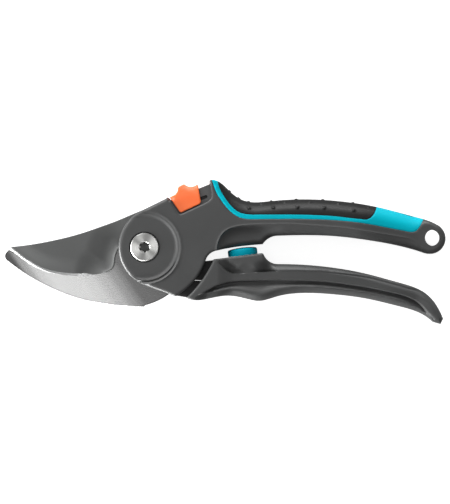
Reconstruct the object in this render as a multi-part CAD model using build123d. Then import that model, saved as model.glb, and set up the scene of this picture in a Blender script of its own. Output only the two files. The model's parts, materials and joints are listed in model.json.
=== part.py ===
from build123d import *

import math
import os

# Bypass pruner, lying on its back with its blades towards -X and its handles towards +X.
# Every part is drawn about the pivot axis, with z = 0 at the plane where the two blades slide past
# each other, and is then moved by PLACE, so that the origin of the finished part is on the surface
# that the pruner lies on, under the middle of its outline. All sizes are in millimetres.

PIVOT_X, PIVOT_Y = -40.0, 2.43
HALF_THICKNESS = 10.0
EDGE_R = 1.0
PLACE = Location((PIVOT_X, PIVOT_Y, HALF_THICKNESS))

# Levels above and below the shear plane.
BLADE_GAP = 0.1
BLADE_THICKNESS = 3.0
BLADE_TOP = BLADE_GAP + BLADE_THICKNESS
HOOK_THICKNESS = 4.0
SLOT_TOP = 3.4
DISH_FLOOR = 9.0

# Pivot hardware.
BOLT_R = 4.0
BOLT_HEAD_R = 7.1
BOLT_SEAT = 6.6
BOLT_WASHER_THICKNESS = 0.5
BOLT_HEAD_SEAT = BOLT_SEAT + BOLT_WASHER_THICKNESS
BOLT_HEAD_TOP = 9.2
BOLT_END = -9.7
HEAD_HOLE_R = 7.65
BUSH_R = 5.5
BORE_PLAY = 0.03
RUNNING_CLEARANCE = 0.05
NUT_ACROSS_FLATS = 13.0
NUT_THICKNESS = 3.0
NUT_SEAT = -5.8
WASHER_THICKNESS = 0.8
DRIVE_R = 2.8
DRIVE_DEPTH = 2.0

# Head of the upper handle: its left edge is an arc, its right edge clears the lower handle.
HEAD_TOP = (0.0, 18.87)
HEAD_LEFT = (-13.0, 0.0)
HEAD_BOTTOM = (0.3, -19.0)
HEAD_TOE = (14.6, -24.2)
DISH_R = 17.6
COVER_R = 24.0
HUB_SWEEP_R = 19.3
STOP_WALL_R = 12.8
STOP_WALL_FROM, STOP_WALL_TO = 200.0, 256.0

# Screws that hold the back cover to the hook.
COVER_SCREWS = ((21.2, -1.5), (8.6, -19.0))
COVER_SCREW_R = 1.2
COVER_SCREW_HEAD_R = 2.6
COVER_SCREW_SEAT = -7.45

# Dowels that lock the two blades into their handles.
DOWEL_R = 2.0
DOWEL_HALF = 6.0
HOOK_DOWELS = ((40.0, 9.5), (51.0, 10.6))
TANG_DOWELS = ((48.0, -15.6), (68.0, -15.6))

# Torsion spring in the head.
SPRING_R = 10.8
SPRING_WIRE_R = 0.65
SPRING_PITCH = 1.5
SPRING_TURNS = 1.75
SPRING_LOW = SLOT_TOP + 0.75
SPRING_LEG_ANGLE = -30.0
SPRING_LEG_R = 15.5
SPRING_POCKET_IN, SPRING_POCKET_OUT = 8.4, 11.9
SPRING_POCKET_TOP = 7.6
OPENING_ANGLE = 35.0

# Catch: a saddle that slides along a rail on the top edge of the head.
RAIL_START = (11.5, 22.9)
RAIL_ANGLE = 22.1
CATCH_TRAVEL = 4.5
NECK_HALF = 7.8
SADDLE_HALF = 9.3
CATCH_PIN = (13.9, -5.1)
CATCH_PIN_R = 0.7
CATCH_BAR_TIP = -2.9

# Hanging hole and grip.
HANG_HOLE = (143.6, 4.65)
HANG_HOLE_R = 4.0
TAIL_HALF = 6.5
SKIN = 2.2

# Bumper on the lower handle.
BUMPER_AT = (49.0, -4.15)
BUMPER_TILT = 7.0
BUMPER_R = 7.35
BUMPER_RIM = 3.4
BUMPER_DOME = 0.6
BUMPER_STEM_R = 3.0
BUMPER_STEM = 6.0

# The line where the handle's soft black pad ends and the coloured inlay begins, and the inlay's
# outer line, both from the thumb end to the tail.
PAD_LINE = [
    (35.8, 33.6), (37.6, 28.6), (41.6, 22.2), (46.0, 17.9), (51.0, 16.3),
    (60.0, 16.15), (76.0, 16.15), (92.0, 15.55), (106.0, 14.05),
]
PAD_END = [(106.0, 14.05), (111.0, 13.9), (114.2, 16.6), (116.2, 21.0)]
INLAY_LINE = [
    (33.0, 33.8), (35.6, 27.3), (39.9, 20.7), (44.5, 16.2), (50.0, 14.05),
    (60.0, 13.9), (76.0, 13.95), (92.0, 13.5), (108.0, 11.95), (126.0, 8.65),
]
INLAY_END = [(126.0, 8.65), (133.4, 7.5), (136.6, 9.6), (139.4, 15.0)]

# Back of the upper handle from the tail to the thumb rise.
HANDLE_BACK = [
    (146.3, 10.9), (142.2, 12.9), (134.0, 15.4), (118.0, 19.6), (102.0, 22.4), (86.0, 23.75),
    (70.0, 23.6), (60.0, 22.7), (53.0, 22.5), (47.5, 24.1), (42.0, 28.3), (38.0, 31.9),
    (34.5, 33.4),
]


def prism(face, low, high):
    """The solid between two levels over a plane face."""
    return Pos(0, 0, low) * extrude(face, high - low)


def ring(inner, outer, low, high):
    """A flat ring or tube about the pivot axis."""
    return prism(Circle(outer) - Circle(inner), low, high)


def disc(radius, low, high, at=(0, 0)):
    """A round solid whose axis is parallel to the pivot."""
    return Pos(at[0], at[1], 0) * prism(Circle(radius), low, high)


def polar(radius, degrees):
    """The plan point at this radius and angle about the pivot."""
    return (radius * math.cos(math.radians(degrees)), radius * math.sin(math.radians(degrees)))


def sector(radius, start, end):
    """A pie slice of a disc about the pivot, from one angle to another, anticlockwise."""
    middle = (start + end) / 2
    return make_face(
        [
            Line((0, 0), polar(radius, start)),
            ThreePointArc(polar(radius, start), polar(radius, middle), polar(radius, end)),
            Line(polar(radius, end), (0, 0)),
        ]
    )


def on_rail(solid, along=0.0, up=0.0):
    """Puts a solid that is drawn along X onto the catch's rail."""
    return Pos(*RAIL_START, 0) * Rot(0, 0, RAIL_ANGLE) * Pos(along, up, 0) * solid


# ---------------------------------------------------------------- outlines


def upper_handle_outline():
    """Plan of the whole upper handle: head, neck, grip and tail."""
    return make_face(
        [
            ThreePointArc(HEAD_TOP, HEAD_LEFT, HEAD_BOTTOM),
            Line(HEAD_BOTTOM, HEAD_TOE),
            ThreePointArc(HEAD_TOE, (15.6, -24.35), (16.4, -23.8)),
            ThreePointArc((16.4, -23.8), (24.6, -16.9), (30.2, -6.9)),
            ThreePointArc((30.2, -6.9), (32.0, -3.7), (36.0, -1.7)),
            Spline((36.0, -1.7), (44.0, -0.1), (52.0, 0.9), (58.8, 1.45)),
            ThreePointArc((58.8, 1.45), (61.7, 4.3), (66.0, 5.7)),
            Spline(
                (66.0, 5.7), (80.0, 6.0), (95.0, 5.5), (110.0, 3.75), (125.0, 1.1), (140.2, -3.1)
            ),
            ThreePointArc((140.2, -3.1), (150.0, 4.2), HANDLE_BACK[0]),
            Spline(*HANDLE_BACK),
            ThreePointArc(HANDLE_BACK[-1], (33.3, 33.5), (32.4, 33.1)),
            Line((32.4, 33.1), (11.8, 24.65)),
            Line((11.8, 24.65), HEAD_TOP),
        ]
    )


def lower_handle_outline():
    """Plan of the lower handle without the tongue that enters the head."""
    return make_face(
        [
            ThreePointArc((34.3, -6.1), (28.2, -16.8), (20.8, -25.2)),
            Spline(
                (20.8, -25.2), (25.8, -26.45), (33.8, -25.2), (41.8, -24.25), (49.8, -25.5),
                (57.0, -26.85), (65.8, -24.7), (80.0, -22.9), (94.0, -23.55), (110.0, -25.6),
                (126.0, -29.3), (138.0, -33.2), (144.0, -37.35),
            ),
            Line((144.0, -37.35), (147.4, -38.4)),
            Line((147.4, -38.4), (148.7, -35.6)),
            Spline(
                (148.7, -35.6), (145.8, -29.6), (141.8, -24.5), (137.0, -21.2), (126.0, -17.45),
                (110.0, -13.15), (94.0, -10.25), (78.0, -8.75), (66.0, -8.45),
            ),
            ThreePointArc((66.0, -8.45), (61.9, -7.0), (59.2, -3.6)),
            ThreePointArc((59.2, -3.6), (58.8, -3.2), (58.0, -3.05)),
            Line((58.0, -3.05), (34.3, -6.1)),
        ]
    )


def cutting_blade_outline():
    """Plan of the cutting blade: convex edge, heel, round hub and tang."""
    return make_face(
        [
            Spline(
                (-67.2, -1.1), (-60.0, -6.7), (-52.0, -11.2), (-44.0, -13.4), (-34.0, -14.25),
                (-26.0, -13.8), (-19.5, -12.5),
            ),
            ThreePointArc((-19.5, -12.5), (-16.4, -10.6), (-15.2, -7.5)),
            Spline((-15.2, -7.5), (-14.6, -3.5), (-13.2, -0.6)),
            Line((-13.2, -0.6), polar(12.7, 190)),
            ThreePointArc(polar(12.7, 190), (-5.6, -10.9), (4.0, -11.6)),
            Spline((4.0, -11.6), (9.0, -14.4), (16.0, -15.9), (29.0, -16.75)),
            Line((29.0, -16.75), (45.0, -18.6)),
            Line((45.0, -18.6), (75.0, -18.6)),
            Line((75.0, -18.6), (77.0, -12.6)),
            Line((77.0, -12.6), (44.0, -12.6)),
            Line((44.0, -12.6), (35.0, -6.4)),
            Line((35.0, -6.4), (30.0, -6.95)),
            Line((30.0, -6.95), polar(18.9, -26)),
            ThreePointArc(polar(18.9, -26), polar(18.9, 30), polar(18.9, 90)),
            Spline(
                polar(18.9, 90), (-6.0, 16.55), (-14.0, 13.15), (-22.0, 10.25), (-30.0, 7.45),
                (-40.0, 4.65), (-50.0, 2.5), (-60.0, 0.85), (-66.0, 0.2),
            ),
            ThreePointArc((-66.0, 0.2), (-66.9, -0.2), (-67.2, -1.1)),
        ]
    )


def counter_blade_outline():
    """Plan of the hook: convex back, concave inner edge, hub and tang."""
    return make_face(
        [
            ThreePointArc((-68.1, -1.3), (-41.0, -8.9), (-15.0, -3.5)),
            Spline((-15.0, -3.5), (-13.6, 3.0), (-9.0, 10.0), (0.0, 14.0), (12.0, 15.0)),
            Line((12.0, 15.0), (56.0, 14.0)),
            ThreePointArc((56.0, 14.0), (59.0, 11.0), (56.0, 8.0)),
            Line((56.0, 8.0), (38.0, 4.0)),
            Spline((38.0, 4.0), (27.0, -5.0), (12.2, -23.4)),
            Spline((12.2, -23.4), (6.0, -27.0), (0.2, -29.0)),
            Line((0.2, -29.0), (-0.8, -29.8)),
            Spline(
                (-0.8, -29.8), (-10.0, -29.5), (-22.0, -28.05), (-34.0, -25.2), (-46.0, -20.6),
                (-58.0, -14.3), (-68.4, -7.0),
            ),
            ThreePointArc((-68.4, -7.0), (-70.0, -4.7), (-69.2, -2.6)),
            Line((-69.2, -2.6), (-68.1, -1.3)),
        ]
    )


def saddle_outline():
    """Plan of the catch's thumb saddle at rest."""
    return make_face(
        [
            Polyline(
                (12.5, 24.75), (15.3, 26.1), (16.3, 27.6), (16.7, 29.7), (17.4, 30.3), (19.7, 31.35)
            ),
            ThreePointArc((19.7, 31.35), (22.8, 29.95), (26.0, 31.05)),
            Polyline((26.0, 31.05), (26.5, 30.8), (27.9, 23.2)),
            ThreePointArc((27.9, 23.2), (27.8, 22.0), (27.0, 21.25)),
            Line((27.0, 21.25), (19.0, 17.5)),
            ThreePointArc((19.0, 17.5), (18.1, 17.25), (17.3, 17.8)),
            Line((17.3, 17.8), (12.5, 24.75)),
        ]
    )


def recess_outline():
    """Plan of the pocket in each face of the head that the saddle slides in."""
    return make_face(
        [
            Line((11.0, 25.4), (16.8, 16.9)),
            ThreePointArc((16.8, 16.9), (17.9, 16.35), (19.2, 16.8)),
            Line((19.2, 16.8), (31.2, 22.4)),
            ThreePointArc((31.2, 22.4), (33.1, 24.3), (33.4, 27.0)),
            Line((33.4, 27.0), (32.4, 33.6)),
            Line((32.4, 33.6), (32.0, 36.0)),
            Line((32.0, 36.0), (8.0, 34.0)),
            Line((8.0, 34.0), (11.0, 25.4)),
        ]
    )


# ---------------------------------------------------------------- blades


def cutting_blade():
    """Plate with a hollow-ground bevel along its edge, a round bore and a catch notch in the hub."""
    plate = prism(cutting_blade_outline(), BLADE_GAP, BLADE_TOP)
    plate -= disc(BUSH_R + RUNNING_CLEARANCE, -1, SLOT_TOP)
    plate -= disc(0.85, -1, SLOT_TOP, polar(SPRING_LEG_R, SPRING_LEG_ANGLE))
    for at in TANG_DOWELS:
        plate -= disc(DOWEL_R, -1, SLOT_TOP, at)
    notch = on_rail(prism(Rectangle(6.0, 3.1), -1, SLOT_TOP), -6.3, CATCH_PIN[1])
    return plate - notch


def counter_blade():
    """Thicker plate with a wire notch at the root of its edge, and holes that the handle fills."""
    plate = prism(counter_blade_outline(), -HOOK_THICKNESS, 0)
    plate -= disc(BOLT_R + BORE_PLAY, -5, 1)
    plate -= disc(1.1, -5, 1, (-18.3, -5.2))
    for at in HOOK_DOWELS:
        plate -= disc(DOWEL_R, -5, 1, at)
    for at in COVER_SCREWS:
        plate -= disc(COVER_SCREW_R, -5, 1, at)
    return plate


# ---------------------------------------------------------------- upper handle


def handle_envelope(outline):
    """A handle's outline at full thickness with softened edges."""
    half = prism(outline, 0, HALF_THICKNESS)
    half = fillet(half.edges().group_by(Axis.Z)[-1], EDGE_R)
    return half + mirror(half, Plane.XY)


def tail_wedges():
    """What is cut from both faces so that the tail is thinner than the grip."""
    side = make_face(
        Polyline(
            (104.0, HALF_THICKNESS), (134.0, TAIL_HALF), (160.0, TAIL_HALF), (160.0, 20.0),
            (104.0, 20.0), (104.0, HALF_THICKNESS),
        )
    )
    wedge = Pos(0, 60, 0) * extrude(Plane.XZ * side, 120)
    return wedge + mirror(wedge, Plane.XY)


def inner_block():
    """The hard core under the soft skins of the grip."""
    top = [(x, y - SKIN) for x, y in HANDLE_BACK]
    face = make_face(
        [
            Spline(*top),
            Polyline(
                top[-1], (30.0, top[-1][1]), (30.0, -10.0), (160.0, -10.0), (160.0, top[0][1]), top[0]
            ),
        ]
    )
    block = prism(face, SKIN - HALF_THICKNESS, HALF_THICKNESS - SKIN)
    shrink = Pos(0, 0, -SKIN) * tail_wedges().solids().sort_by(Axis.Z)[-1]
    return block - shrink - mirror(shrink, Plane.XY)


def pad_region():
    """Plan of everything above the black pad's edge."""
    return make_face(
        [
            Spline(*PAD_LINE),
            Spline(*PAD_END),
            Polyline(PAD_END[-1], (116.2, 45.0), (35.8, 45.0), PAD_LINE[0]),
        ]
    )


def inlay_region():
    """Plan of everything above the inlay's outer edge."""
    return make_face(
        [
            Spline(*INLAY_LINE),
            Spline(*INLAY_END),
            Polyline(INLAY_END[-1], (139.4, 45.0), (33.0, 45.0), INLAY_LINE[0]),
        ]
    )


def stop_wall():
    """Plan of the wall that closes the blade slot under the heel and stops the tang."""
    return sector(40, STOP_WALL_FROM, STOP_WALL_TO) - Circle(STOP_WALL_R)


def blade_slot():
    """The space in the head where the hub and the tang turn."""
    below_tang = make_face(
        Polyline(
            (-10.0, 0.0), (17.0, -7.6), (31.0, -6.1), (40.0, -4.0), (40.0, -45.0), (-30.0, -45.0),
            (-10.0, 0.0),
        )
    )
    left_mouth = make_face(
        Polyline((0.0, 0.0), (-30.0, -8.0), (-30.0, 40.0), (0.0, 40.0), (0.0, 0.0))
    )
    return prism(Circle(HUB_SWEEP_R) + below_tang + left_mouth - stop_wall(), 0, SLOT_TOP)


def spring_pocket():
    """Ring-shaped pocket for the spring, with room for both of its legs."""
    pocket = ring(SPRING_POCKET_IN, SPRING_POCKET_OUT, SLOT_TOP - 0.1, SPRING_POCKET_TOP)
    sweep = sector(SPRING_LEG_R + 1.2, SPRING_LEG_ANGLE - OPENING_ANGLE - 6, SPRING_LEG_ANGLE + 6)
    pocket += prism(sweep - Circle(SPRING_POCKET_IN), SLOT_TOP - 0.1, 5.2)
    top_leg = Pos(SPRING_POCKET_OUT, 0, 0) * prism(Rectangle(8.0, 1.6), 5.6, SPRING_POCKET_TOP)
    return pocket + Rot(0, 0, spring_end_angle()) * top_leg


def spring_end_angle():
    """Where the spring's upper leg points."""
    return SPRING_LEG_ANGLE - 360 * SPRING_TURNS


def catch_spaces():
    """What the catch needs cut from the head: recesses, lowered rail, bar slot, pin slot, spring pocket."""
    outline = recess_outline()
    faces = prism(outline, NECK_HALF, 12) + prism(outline, -12, -NECK_HALF)
    above_rail = make_face(
        Polyline((11.2, 22.78), (32.3, 31.35), (32.3, 40.0), (5.0, 40.0), (5.0, 34.0), (11.2, 22.78))
    )
    rail = prism(above_rail & outline, -12, 12)
    bar = on_rail(prism(Rectangle(26.0, 3.1), 0.3, 3.1), 7.6, CATCH_PIN[1])
    pin = on_rail(
        prism(SlotCenterToCenter(CATCH_TRAVEL, 2 * CATCH_PIN_R + 0.2), -12, 12),
        CATCH_PIN[0] + CATCH_TRAVEL / 2, CATCH_PIN[1],
    )
    leaf = on_rail(prism(Rectangle(13.0, 2.4), -6.3, -2.7), 15.9, -7.0)
    return faces + rail + bar + pin + leaf


def back_cover_region():
    """Plan of the round lid on the back of the head."""
    return upper_handle_outline() & Circle(COVER_R)


def upper_handle_parts():
    """The hard core, the coloured inlay, the black pad and the back cover of the upper handle."""
    envelope = handle_envelope(upper_handle_outline()) - tail_wedges()
    envelope -= disc(HANG_HOLE_R, -20, 20, HANG_HOLE)
    block = inner_block()
    pad = envelope & prism(pad_region(), -20, 20)
    inlay = envelope & prism(inlay_region() - pad_region(), -20, 20)
    pad -= block
    inlay -= block
    core = envelope - prism(inlay_region(), -20, 20)
    core += envelope & prism(inlay_region(), -20, 20) & block
    cover_zone = prism(back_cover_region(), -12, -HOOK_THICKNESS)
    cover = envelope & cover_zone
    core -= cover_zone
    core -= prism(counter_blade_outline(), -HOOK_THICKNESS, 0)
    core -= blade_slot()
    core -= spring_pocket()
    core -= catch_spaces()
    core -= disc(BOLT_R + BORE_PLAY, -1, 12)
    core -= disc(HEAD_HOLE_R, BOLT_SEAT, 12)
    for at in HOOK_DOWELS:
        core -= disc(DOWEL_R, -DOWEL_HALF, DOWEL_HALF, at)
    core -= disc(DISH_R - 0.8, DISH_FLOOR, 12)
    nut_pocket = prism(RegularPolygon(NUT_ACROSS_FLATS / 2 + 0.15, 6, major_radius=False), -12, NUT_SEAT)
    cover -= nut_pocket
    cover -= disc(BOLT_R + BORE_PLAY, -12, 0)
    cover -= disc(DISH_R - 0.8, -12, -DISH_FLOOR)
    for at in COVER_SCREWS:
        cover -= disc(COVER_SCREW_R + 0.2, -12, 0, at)
        cover -= disc(COVER_SCREW_HEAD_R + 0.2, -12, COVER_SCREW_SEAT, at)
    return {"upper_handle_core": core, "grip_inlay": inlay, "grip_pad": pad, "head_back_cover": cover}


# ---------------------------------------------------------------- lower handle


def on_bumper(solid):
    """Puts a solid whose axis is Z onto the bumper's axis."""
    return Pos(*BUMPER_AT, 0) * Rot(0, 0, BUMPER_TILT) * Rot(-90, 0, 0) * solid


def lower_handle():
    """Lower handle moulded round the tang, with a tongue beside the tang inside the head."""
    body = handle_envelope(lower_handle_outline())
    tongue = make_face(
        [
            Polyline(
                (14.9, -24.1), (13.2, -20.4), (15.5, -16.1), (29.0, -16.9), (36.0, -17.0), (30.0, -25.0),
                (21.0, -25.25),
            ),
            Line((21.0, -25.25), (14.9, -24.1)),
        ]
    )
    body += prism(tongue, BLADE_GAP + 0.15, BLADE_TOP - 0.1)
    body -= prism(cutting_blade_outline(), BLADE_GAP, BLADE_TOP)
    for at in TANG_DOWELS:
        body -= disc(DOWEL_R, -DOWEL_HALF, DOWEL_HALF, at)
    body -= on_bumper(disc(BUMPER_STEM_R, -BUMPER_STEM, 1))
    return body


def bumper():
    """Soft disc with a domed top and a stem that is pressed into the lower handle."""
    dome_r = (BUMPER_R**2 + BUMPER_DOME**2) / (2 * BUMPER_DOME)
    pad = disc(BUMPER_R, 0, BUMPER_RIM + BUMPER_DOME)
    pad &= Pos(0, 0, BUMPER_RIM + BUMPER_DOME - dome_r) * Sphere(dome_r)
    pad += disc(BUMPER_STEM_R, -BUMPER_STEM, 0.5)
    return on_bumper(pad)


# ---------------------------------------------------------------- pivot hardware


def star_recess():
    """Six-lobed driver recess, drawn upwards from its floor."""
    lobes = Circle(DRIVE_R * 0.72)
    for turn in range(6):
        lobes += Pos(*polar(DRIVE_R * 0.74, 60 * turn + 30), 0) * Circle(DRIVE_R * 0.26)
    mouth = Pos(0, 0, BOLT_HEAD_TOP) * Cone(DRIVE_R - 0.5, DRIVE_R + 0.5, 1.0)
    return prism(lobes, BOLT_HEAD_TOP - DRIVE_DEPTH, BOLT_HEAD_TOP + 1) + mouth


def pivot_bolt():
    """Low cap bolt with a six-lobed recess."""
    head = disc(BOLT_HEAD_R, BOLT_HEAD_SEAT, BOLT_HEAD_TOP)
    head = chamfer(head.edges().group_by(Axis.Z)[-1], 0.4)
    return head + disc(BOLT_R, BOLT_END, BOLT_HEAD_SEAT + 0.5) - star_recess()


def pivot_nut():
    """Thin hexagon nut."""
    low = NUT_SEAT - WASHER_THICKNESS - NUT_THICKNESS
    nut = prism(RegularPolygon(NUT_ACROSS_FLATS / 2, 6, major_radius=False), low, low + NUT_THICKNESS)
    return nut - disc(BOLT_R + 0.02, -12, 0)


def return_spring():
    """Torsion spring: its lower leg drops into the blade and its upper leg rests in the head."""
    height = SPRING_PITCH * SPRING_TURNS
    coil_path = Rot(0, 0, SPRING_LEG_ANGLE) * Helix(SPRING_PITCH, height, SPRING_R, lefthand=True)
    start = coil_path @ 0
    profile = Plane(start, z_dir=coil_path % 0) * Circle(SPRING_WIRE_R)
    coil = Pos(0, 0, SPRING_LOW) * sweep(profile, path=coil_path, is_frenet=True)
    leg_length = SPRING_LEG_R - SPRING_R
    leg = Rot(0, 90, 0) * Cylinder(SPRING_WIRE_R, leg_length, align=(Align.CENTER, Align.CENTER, Align.MIN))
    ball = Sphere(SPRING_WIRE_R)
    low_leg = Pos(SPRING_R, 0, SPRING_LOW) * leg
    low_leg += Pos(SPRING_LEG_R, 0, SPRING_LOW) * ball
    low_leg += disc(SPRING_WIRE_R, 1.2, SPRING_LOW, (SPRING_LEG_R, 0))
    low_leg += Pos(SPRING_R, 0, SPRING_LOW) * ball
    high_leg = Pos(SPRING_R, 0, SPRING_LOW + height) * leg
    high_leg += Pos(SPRING_R, 0, SPRING_LOW + height) * ball
    return coil + Rot(0, 0, SPRING_LEG_ANGLE) * low_leg + Rot(0, 0, spring_end_angle()) * high_leg


def cover_screws():
    """Two countersunk screws that hold the back cover."""
    screws = []
    for at in COVER_SCREWS:
        screw = disc(COVER_SCREW_HEAD_R, COVER_SCREW_SEAT - 1.5, COVER_SCREW_SEAT, at)
        screw += disc(COVER_SCREW_R, COVER_SCREW_SEAT, -0.6, at)
        cross = Box(3.4, 0.7, 1.2) + Box(0.7, 3.4, 1.2)
        screws.append(screw - Pos(*at, COVER_SCREW_SEAT - 1.5) * cross)
    return Compound(children=screws)


def dowels(places):
    """A pair of steel dowels through a handle and the blade inside it."""
    return Compound(children=[disc(DOWEL_R, -DOWEL_HALF, DOWEL_HALF, at) for at in places])


# ---------------------------------------------------------------- catch


def catch_saddle():
    """Thumb saddle that straddles the top edge of the head."""
    body = prism(saddle_outline(), -SADDLE_HALF, SADDLE_HALF)
    under_rail = on_rail(Pos(0, -15, 0) * Box(60, 30.3, 2 * NECK_HALF + 0.3))
    body -= under_rail
    return body - on_rail(disc(CATCH_PIN_R, -12, 12), *CATCH_PIN)


def catch_pin():
    """Steel pin that carries the bar and runs in the slot through the head."""
    return on_rail(disc(CATCH_PIN_R, 0.5 - SADDLE_HALF, SADDLE_HALF - 0.5), *CATCH_PIN)


def catch_bar():
    """Flat steel bar that locks the hub of the cutting blade."""
    length = CATCH_PIN[0] + 1.6 - CATCH_BAR_TIP
    bar = on_rail(prism(Rectangle(length, 2.8), 0.5, 2.9), CATCH_BAR_TIP + length / 2, CATCH_PIN[1])
    return bar - on_rail(disc(CATCH_PIN_R, -5, 5), *CATCH_PIN)


def catch_spring():
    """Bent leaf under the pin that holds the catch at either end of its travel."""
    upper = [
        (10.0, -7.6), (12.0, -6.6), (14.0, -6.4), (16.15, -6.0), (18.4, -6.4), (20.4, -6.6), (22.0, -7.6)
    ]
    lower = [(x, y - 0.4) for x, y in reversed(upper)]
    strip = make_face(
        [Spline(*upper), Line(upper[-1], lower[0]), Spline(*lower), Line(lower[-1], upper[0])]
    )
    return on_rail(prism(strip, -6.0, -3.0))


def main():
    nodes = upper_handle_parts()
    nodes["cutting_blade"] = cutting_blade()
    nodes["counter_blade"] = counter_blade()
    nodes["lower_handle"] = lower_handle()
    nodes["bumper"] = bumper()
    nodes["pivot_bolt"] = pivot_bolt()
    nodes["pivot_nut"] = pivot_nut()
    nodes["pivot_bush"] = ring(BOLT_R + BORE_PLAY, BUSH_R, 0, SLOT_TOP)
    nodes["blade_washer"] = ring(BUSH_R + 0.1, 8.0, BLADE_TOP + 0.05, SLOT_TOP)
    nodes["spring_washer"] = ring(BOLT_R + 0.2, 6.4, NUT_SEAT - WASHER_THICKNESS, NUT_SEAT)
    nodes["return_spring"] = return_spring()
    nodes["bolt_washer"] = ring(BOLT_R + BORE_PLAY, BOLT_HEAD_R, BOLT_SEAT, BOLT_HEAD_SEAT)
    nodes["cover_screws"] = cover_screws()
    nodes["hook_dowels"] = dowels(HOOK_DOWELS)
    nodes["tang_dowels"] = dowels(TANG_DOWELS)
    nodes["catch_saddle"] = catch_saddle()
    nodes["catch_pin"] = catch_pin()
    nodes["catch_bar"] = catch_bar()
    nodes["catch_spring"] = catch_spring()
    os.makedirs("parts", exist_ok=True)
    for name, shape in nodes.items():
        placed = PLACE * shape
        export_step(placed, f"parts/{name}.step")
        size = placed.bounding_box()
        print(name, len(placed.solids()), [round(v, 2) for v in (*size.min, *size.max)])


main()
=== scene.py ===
import json
import math

import bmesh
import bpy
import numpy as np
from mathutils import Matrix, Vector
from mathutils.geometry import delaunay_2d_cdt
from mathutils.kdtree import KDTree


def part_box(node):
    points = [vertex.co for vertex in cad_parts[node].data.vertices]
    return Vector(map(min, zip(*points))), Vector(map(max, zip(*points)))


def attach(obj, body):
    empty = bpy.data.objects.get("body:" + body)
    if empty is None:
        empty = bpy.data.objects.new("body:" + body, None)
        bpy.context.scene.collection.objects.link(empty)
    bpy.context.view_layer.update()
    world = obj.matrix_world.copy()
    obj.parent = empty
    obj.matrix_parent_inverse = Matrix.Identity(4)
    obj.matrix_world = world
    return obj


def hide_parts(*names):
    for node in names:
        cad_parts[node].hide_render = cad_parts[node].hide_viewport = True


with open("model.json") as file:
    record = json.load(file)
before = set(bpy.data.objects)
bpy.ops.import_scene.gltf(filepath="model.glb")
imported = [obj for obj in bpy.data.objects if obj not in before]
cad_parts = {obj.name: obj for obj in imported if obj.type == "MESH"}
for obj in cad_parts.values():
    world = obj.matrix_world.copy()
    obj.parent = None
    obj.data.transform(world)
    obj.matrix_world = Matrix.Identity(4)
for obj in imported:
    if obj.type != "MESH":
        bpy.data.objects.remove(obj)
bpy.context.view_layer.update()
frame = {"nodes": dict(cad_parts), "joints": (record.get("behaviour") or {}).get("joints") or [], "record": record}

# Every outline below is in millimetres about the pivot axis, with z = 0 where the two blades slide.
# place() takes such points into the frame.
NODES = frame["nodes"]
PIVOT = np.array(next(j["pos_m"] for j in frame["joints"] if j["name"] == "pivot"))
RAIL_DIRECTION = next(j["axis"] for j in frame["joints"] if j["name"] == "catch_slide")
MM = 0.001


def place(points):
    """Pivot millimetres to frame metres."""
    return np.asarray(points, float) * MM + PIVOT


def node_mm(node):
    """Lowest and highest corner of a CAD node in pivot millimetres."""
    low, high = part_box(node)
    return (np.array(low) - PIVOT) / MM, (np.array(high) - PIVOT) / MM


# ---------------------------------------------------------------- the driving sizes

FACE = node_mm("lower_handle")[1][2]
TAIL_FACE = 6.5
TAIL_FROM, TAIL_TO = 104.0, 136.0
BOLT_HOLE_R = 7.65
COVER_R = 24.0
COVER_LEVEL = -4.0
SLOT_LOW, SLOT_HIGH = 0.0, 3.4
HUB_SWEEP_R = 19.3
RECESS_DEPTH = 2.2
PAST = 14.0  # a level beyond either face, where a cutter ends
HEAD_RING_R, HEAD_GROOVE_R = 18.35, 17.25
FLOOR_STEP, FLOOR_COVE = 0.4, 0.6
HOLLOW_DEPTH, HOLLOW_REACH = 2.6, 2.0
FACET_SLOPE = 0.12
CREASE_RELIEF = 0.22
RECESS_RIM_DROP = 0.28
STRIP_DEPTH = 0.9
BOSS_SCOOP = 2.8
VALLEY_DEPTH, RIDGE_RISE = 2.5, 1.4
BACK_SLOPE_DROP, BACK_SLOPE_WIDTH = 2.6, 3.6
GRIND_DEPTH, HEEL_CURL = 0.9, 1.2
THUMB_DISH, THUMB_DISH_R = 1.8, 4.2
BUMPER_SEAT = (49.0, -4.15, 0.0)
BUMPER_TILT_DEG = 7.0
BUMPER_PROFILE = [
    (0, 4.0), (3.0, 3.9), (5.6, 3.62), (6.9, 3.3), (7.28, 2.9),
    (7.4, 2.3), (7.36, 0.5), (7.25, 0.02), (3.0, 0.0), (0, 0.0),
]
HANG_HOLE = next(m for m in frame["record"]["mounts"] if m["name"] == "hang_hole")
HANG_XY = (np.array(HANG_HOLE["pos_m"]) - PIVOT)[:2] / MM
HANG_R = HANG_HOLE["dims"]["r_mm"]

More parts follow.
